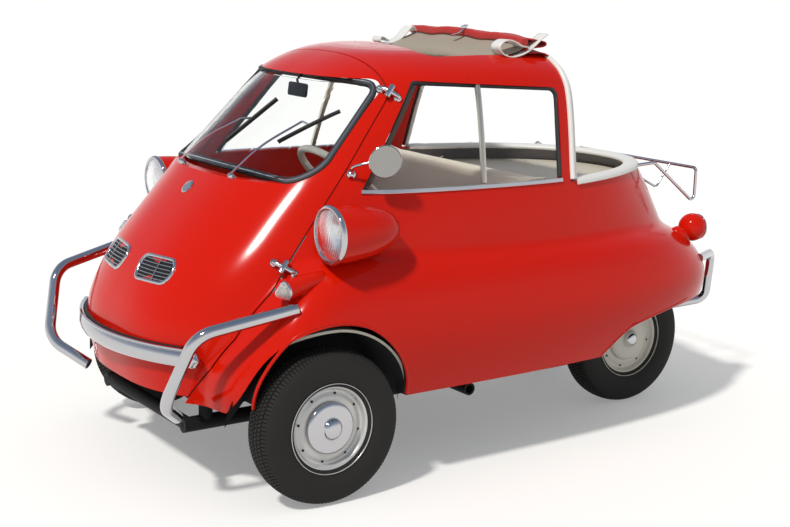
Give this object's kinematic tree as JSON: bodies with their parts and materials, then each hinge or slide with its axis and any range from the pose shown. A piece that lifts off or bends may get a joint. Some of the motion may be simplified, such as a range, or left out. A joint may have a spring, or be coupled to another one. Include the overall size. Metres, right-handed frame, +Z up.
{
  "type": "bubble car",
  "caption": "Egg-shaped two-seat microcar whose whole nose is one side-hinged door, with a folded cloth roof, tubular corner bars and close-set rear wheels.",
  "frame": {"origin": "on the ground under the middle of the whole car's box", "axes": "+Z up, -Y towards the nose, +X towards the car's left side"},
  "size_m": [1.4138, 2.3596, 1.3873],
  "materials": {
    "red_paint": "gloss red enamel",
    "chrome": "polished chrome plate",
    "clear_glass": "clear, faintly green",
    "seal_rubber": "black extruded rubber",
    "bright_metal": "brushed channel",
    "white_vinyl": "white padded vinyl",
    "hood_cloth": "red coated fabric",
    "seat_cloth": "cream woven cover",
    "cabin_paint": "cream satin paint",
    "cream_plastic": "cream moulded",
    "chassis_paint": "black satin paint",
    "spring_steel": "dull steel",
    "engine_metal": "sand-cast",
    "tyre_rubber": "block tread",
    "rim_paint": "silver-grey satin paint"
  },
  "bodies": {
    "body": {"body_shell": "red_paint", "window_frames": "bright_metal", "side_glass": "clear_glass", "hood_trim": "white_vinyl", "folded_top": "hood_cloth", "headlamp_pods": "red_paint", "headlamp_rings": "chrome", "headlamp_lenses": "clear_glass", "indicator_bases": "red_paint", "indicator_lenses": "clear_glass", "tail_lamps": "red_paint", "tail_lamp_lenses": "chrome", "corner_bars": "chrome", "rear_bars": "chrome", "luggage_rack": "chrome", "mirror": "chrome", "hinge_pins": "chrome", "floor_pan": "cabin_paint", "rear_shelf": "cabin_paint", "seat_cushion": "seat_cloth", "seat_back": "seat_cloth", "seat_base": "cabin_paint", "chassis_frame": "chassis_paint", "front_axle": "chassis_paint", "rear_axle_case": "chassis_paint", "rear_springs": "spring_steel", "engine": "engine_metal"},
    "front_door": {"front_door": "red_paint", "windscreen_glass": "clear_glass", "windscreen_seal": "seal_rubber", "grilles": "chrome", "bumper_blade": "chrome", "wipers": "chrome", "door_handle": "chrome", "hinge_leaves": "chrome", "dash_column": "cabin_paint"},
    "steering_wheel": {"steering_wheel": "cream_plastic"},
    "knuckle_left": {"knuckle_left": "chassis_paint"},
    "knuckle_right": {"knuckle_right": "chassis_paint"},
    "wheel_front_left": {"tyre_front_left": "tyre_rubber", "rim_front_left": "rim_paint", "hub_cap_front_left": "chrome"},
    "wheel_front_right": {"tyre_front_right": "tyre_rubber", "rim_front_right": "rim_paint", "hub_cap_front_right": "chrome"},
    "rear_wheels": {"rear_shaft": "spring_steel", "tyre_rear_left": "tyre_rubber", "rim_rear_left": "rim_paint", "hub_cap_rear_left": "chrome", "tyre_rear_right": "tyre_rubber", "rim_rear_right": "rim_paint", "hub_cap_rear_right": "chrome"}
  },
  "joints": [
    {"name": "door_swing", "type": "hinge", "parent": "body", "child": "front_door", "pos_m": [0.42779, -0.3535, 1.23], "axis": [-0.1175, 0.6418, 0.7578], "range_deg": [0, 60]},
    {"name": "steering_turn", "type": "hinge", "parent": "front_door", "child": "steering_wheel", "pos_m": [0.205, -0.3795, 0.905], "axis": [0, 0.6947, 0.7193], "range_deg": [-360, 360]},
    {"name": "steer_left", "type": "hinge", "parent": "body", "child": "knuckle_left", "pos_m": [0.5, -0.6975, 0.244], "axis": [0, 0, 1], "range_deg": [-30, 30]},
    {"name": "steer_right", "type": "hinge", "parent": "body", "child": "knuckle_right", "pos_m": [-0.5, -0.6975, 0.244], "axis": [0, 0, 1], "range_deg": [-30, 30]},
    {"name": "roll_front_left", "type": "hinge", "parent": "knuckle_left", "child": "wheel_front_left", "pos_m": [0.6, -0.6975, 0.244], "axis": [1, 0, 0], "continuous": true},
    {"name": "roll_front_right", "type": "hinge", "parent": "knuckle_right", "child": "wheel_front_right", "pos_m": [-0.6, -0.6975, 0.244], "axis": [1, 0, 0], "continuous": true},
    {"name": "roll_rear", "type": "hinge", "parent": "body", "child": "rear_wheels", "pos_m": [0, 0.8025, 0.244], "axis": [1, 0, 0], "continuous": true}
  ],
  "couplings": [
    {"joint": "steer_right", "follows": "steer_left", "ratio": 1},
    {"joint": "steering_turn", "follows": "steer_left", "ratio": 12}
  ]
}
